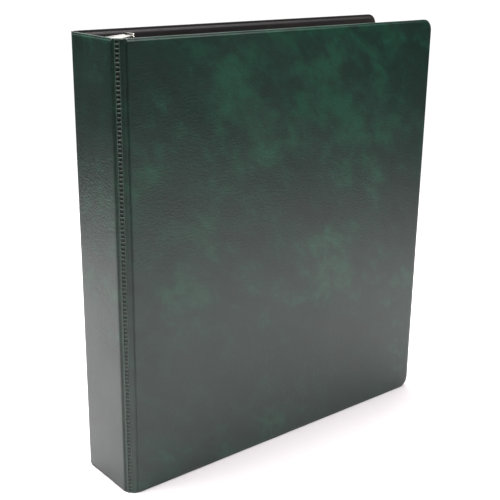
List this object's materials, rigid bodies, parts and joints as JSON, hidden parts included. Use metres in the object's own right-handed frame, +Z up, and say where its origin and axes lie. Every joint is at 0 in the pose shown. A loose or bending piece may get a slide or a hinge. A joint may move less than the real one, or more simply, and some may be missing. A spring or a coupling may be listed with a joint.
{
  "type": "ring binder album",
  "caption": "Upright ring album for stamp pages: padded-look vinyl covers on heat-sealed hinges, spine-mounted ring mechanism with opening levers.",
  "frame": {"origin": "middle of the base the closed album stands on", "axes": "+Z up along the spine, -X the spine's outer face, +X the fore edge, -Y the front cover, +Y the back cover"},
  "size_m": [0.266, 0.0584, 0.292],
  "materials": {
    "green_vinyl": "embossed leather-grain PVC sheet, semi-gloss",
    "dark_lining": "matt smooth PVC sheet",
    "greyboard": "raw grey board",
    "nickel_plate": "bright nickel-plated steel",
    "plain_steel": "zinc-plated steel"
  },
  "bodies": {
    "spine": {"spine_board": "greyboard", "spine_outer_vinyl": "green_vinyl", "spine_lining": "dark_lining", "ring_housing": "nickel_plate", "top_trigger_pin": "plain_steel", "bottom_trigger_pin": "plain_steel", "top_rivet": "nickel_plate", "bottom_rivet": "nickel_plate"},
    "front_hinge": {"front_hinge_web": "green_vinyl"},
    "front_cover": {"front_board": "greyboard", "front_outer_vinyl": "green_vinyl", "front_lining": "dark_lining"},
    "front_blade_set": {"front_blade": "plain_steel", "front_top_ring": "nickel_plate", "front_middle_ring": "nickel_plate", "front_bottom_ring": "nickel_plate"},
    "back_hinge": {"back_hinge_web": "green_vinyl"},
    "back_cover": {"back_board": "greyboard", "back_outer_vinyl": "green_vinyl", "back_lining": "dark_lining"},
    "back_blade_set": {"back_blade": "plain_steel", "back_top_ring": "nickel_plate", "back_middle_ring": "nickel_plate", "back_bottom_ring": "nickel_plate"},
    "top_lever": {"top_trigger": "nickel_plate"},
    "bottom_lever": {"bottom_trigger": "nickel_plate"}
  },
  "joints": [
    {"name": "front_web_fold", "type": "hinge", "parent": "spine", "child": "front_hinge", "pos_m": [-0.1314, -0.02334, 0.146], "axis": [0, 0, -1], "range_deg": [0, 90]},
    {"name": "front_cover_fold", "type": "hinge", "parent": "front_hinge", "child": "front_cover", "pos_m": [-0.12714, -0.0276, 0.146], "axis": [0, 0, -1], "range_deg": [0, 90]},
    {"name": "back_web_fold", "type": "hinge", "parent": "spine", "child": "back_hinge", "pos_m": [-0.1314, 0.02334, 0.146], "axis": [0, 0, 1], "range_deg": [0, 90]},
    {"name": "back_cover_fold", "type": "hinge", "parent": "back_hinge", "child": "back_cover", "pos_m": [-0.12714, 0.0276, 0.146], "axis": [0, 0, 1], "range_deg": [0, 90]},
    {"name": "front_rings_open", "type": "hinge", "parent": "spine", "child": "front_blade_set", "pos_m": [-0.1266, -0.01045, 0.146], "axis": [0, 0, -1], "range_deg": [0, 13]},
    {"name": "back_rings_open", "type": "hinge", "parent": "spine", "child": "back_blade_set", "pos_m": [-0.1266, 0.01045, 0.146], "axis": [0, 0, 1], "range_deg": [0, 13]},
    {"name": "top_lever_press", "type": "hinge", "parent": "spine", "child": "top_lever", "pos_m": [-0.1262, 0, 0.285], "axis": [0, -1, 0], "range_deg": [0, 26]},
    {"name": "bottom_lever_press", "type": "hinge", "parent": "spine", "child": "bottom_lever", "pos_m": [-0.1262, 0, 0.007], "axis": [0, 1, 0], "range_deg": [0, 26]}
  ],
  "couplings": [
    {"joint": "front_web_fold", "follows": "front_cover_fold", "ratio": 1},
    {"joint": "back_web_fold", "follows": "back_cover_fold", "ratio": 1},
    {"joint": "back_rings_open", "follows": "front_rings_open", "ratio": 1},
    {"joint": "top_lever_press", "follows": "front_rings_open", "ratio": 2},
    {"joint": "bottom_lever_press", "follows": "front_rings_open", "ratio": 2}
  ]
}
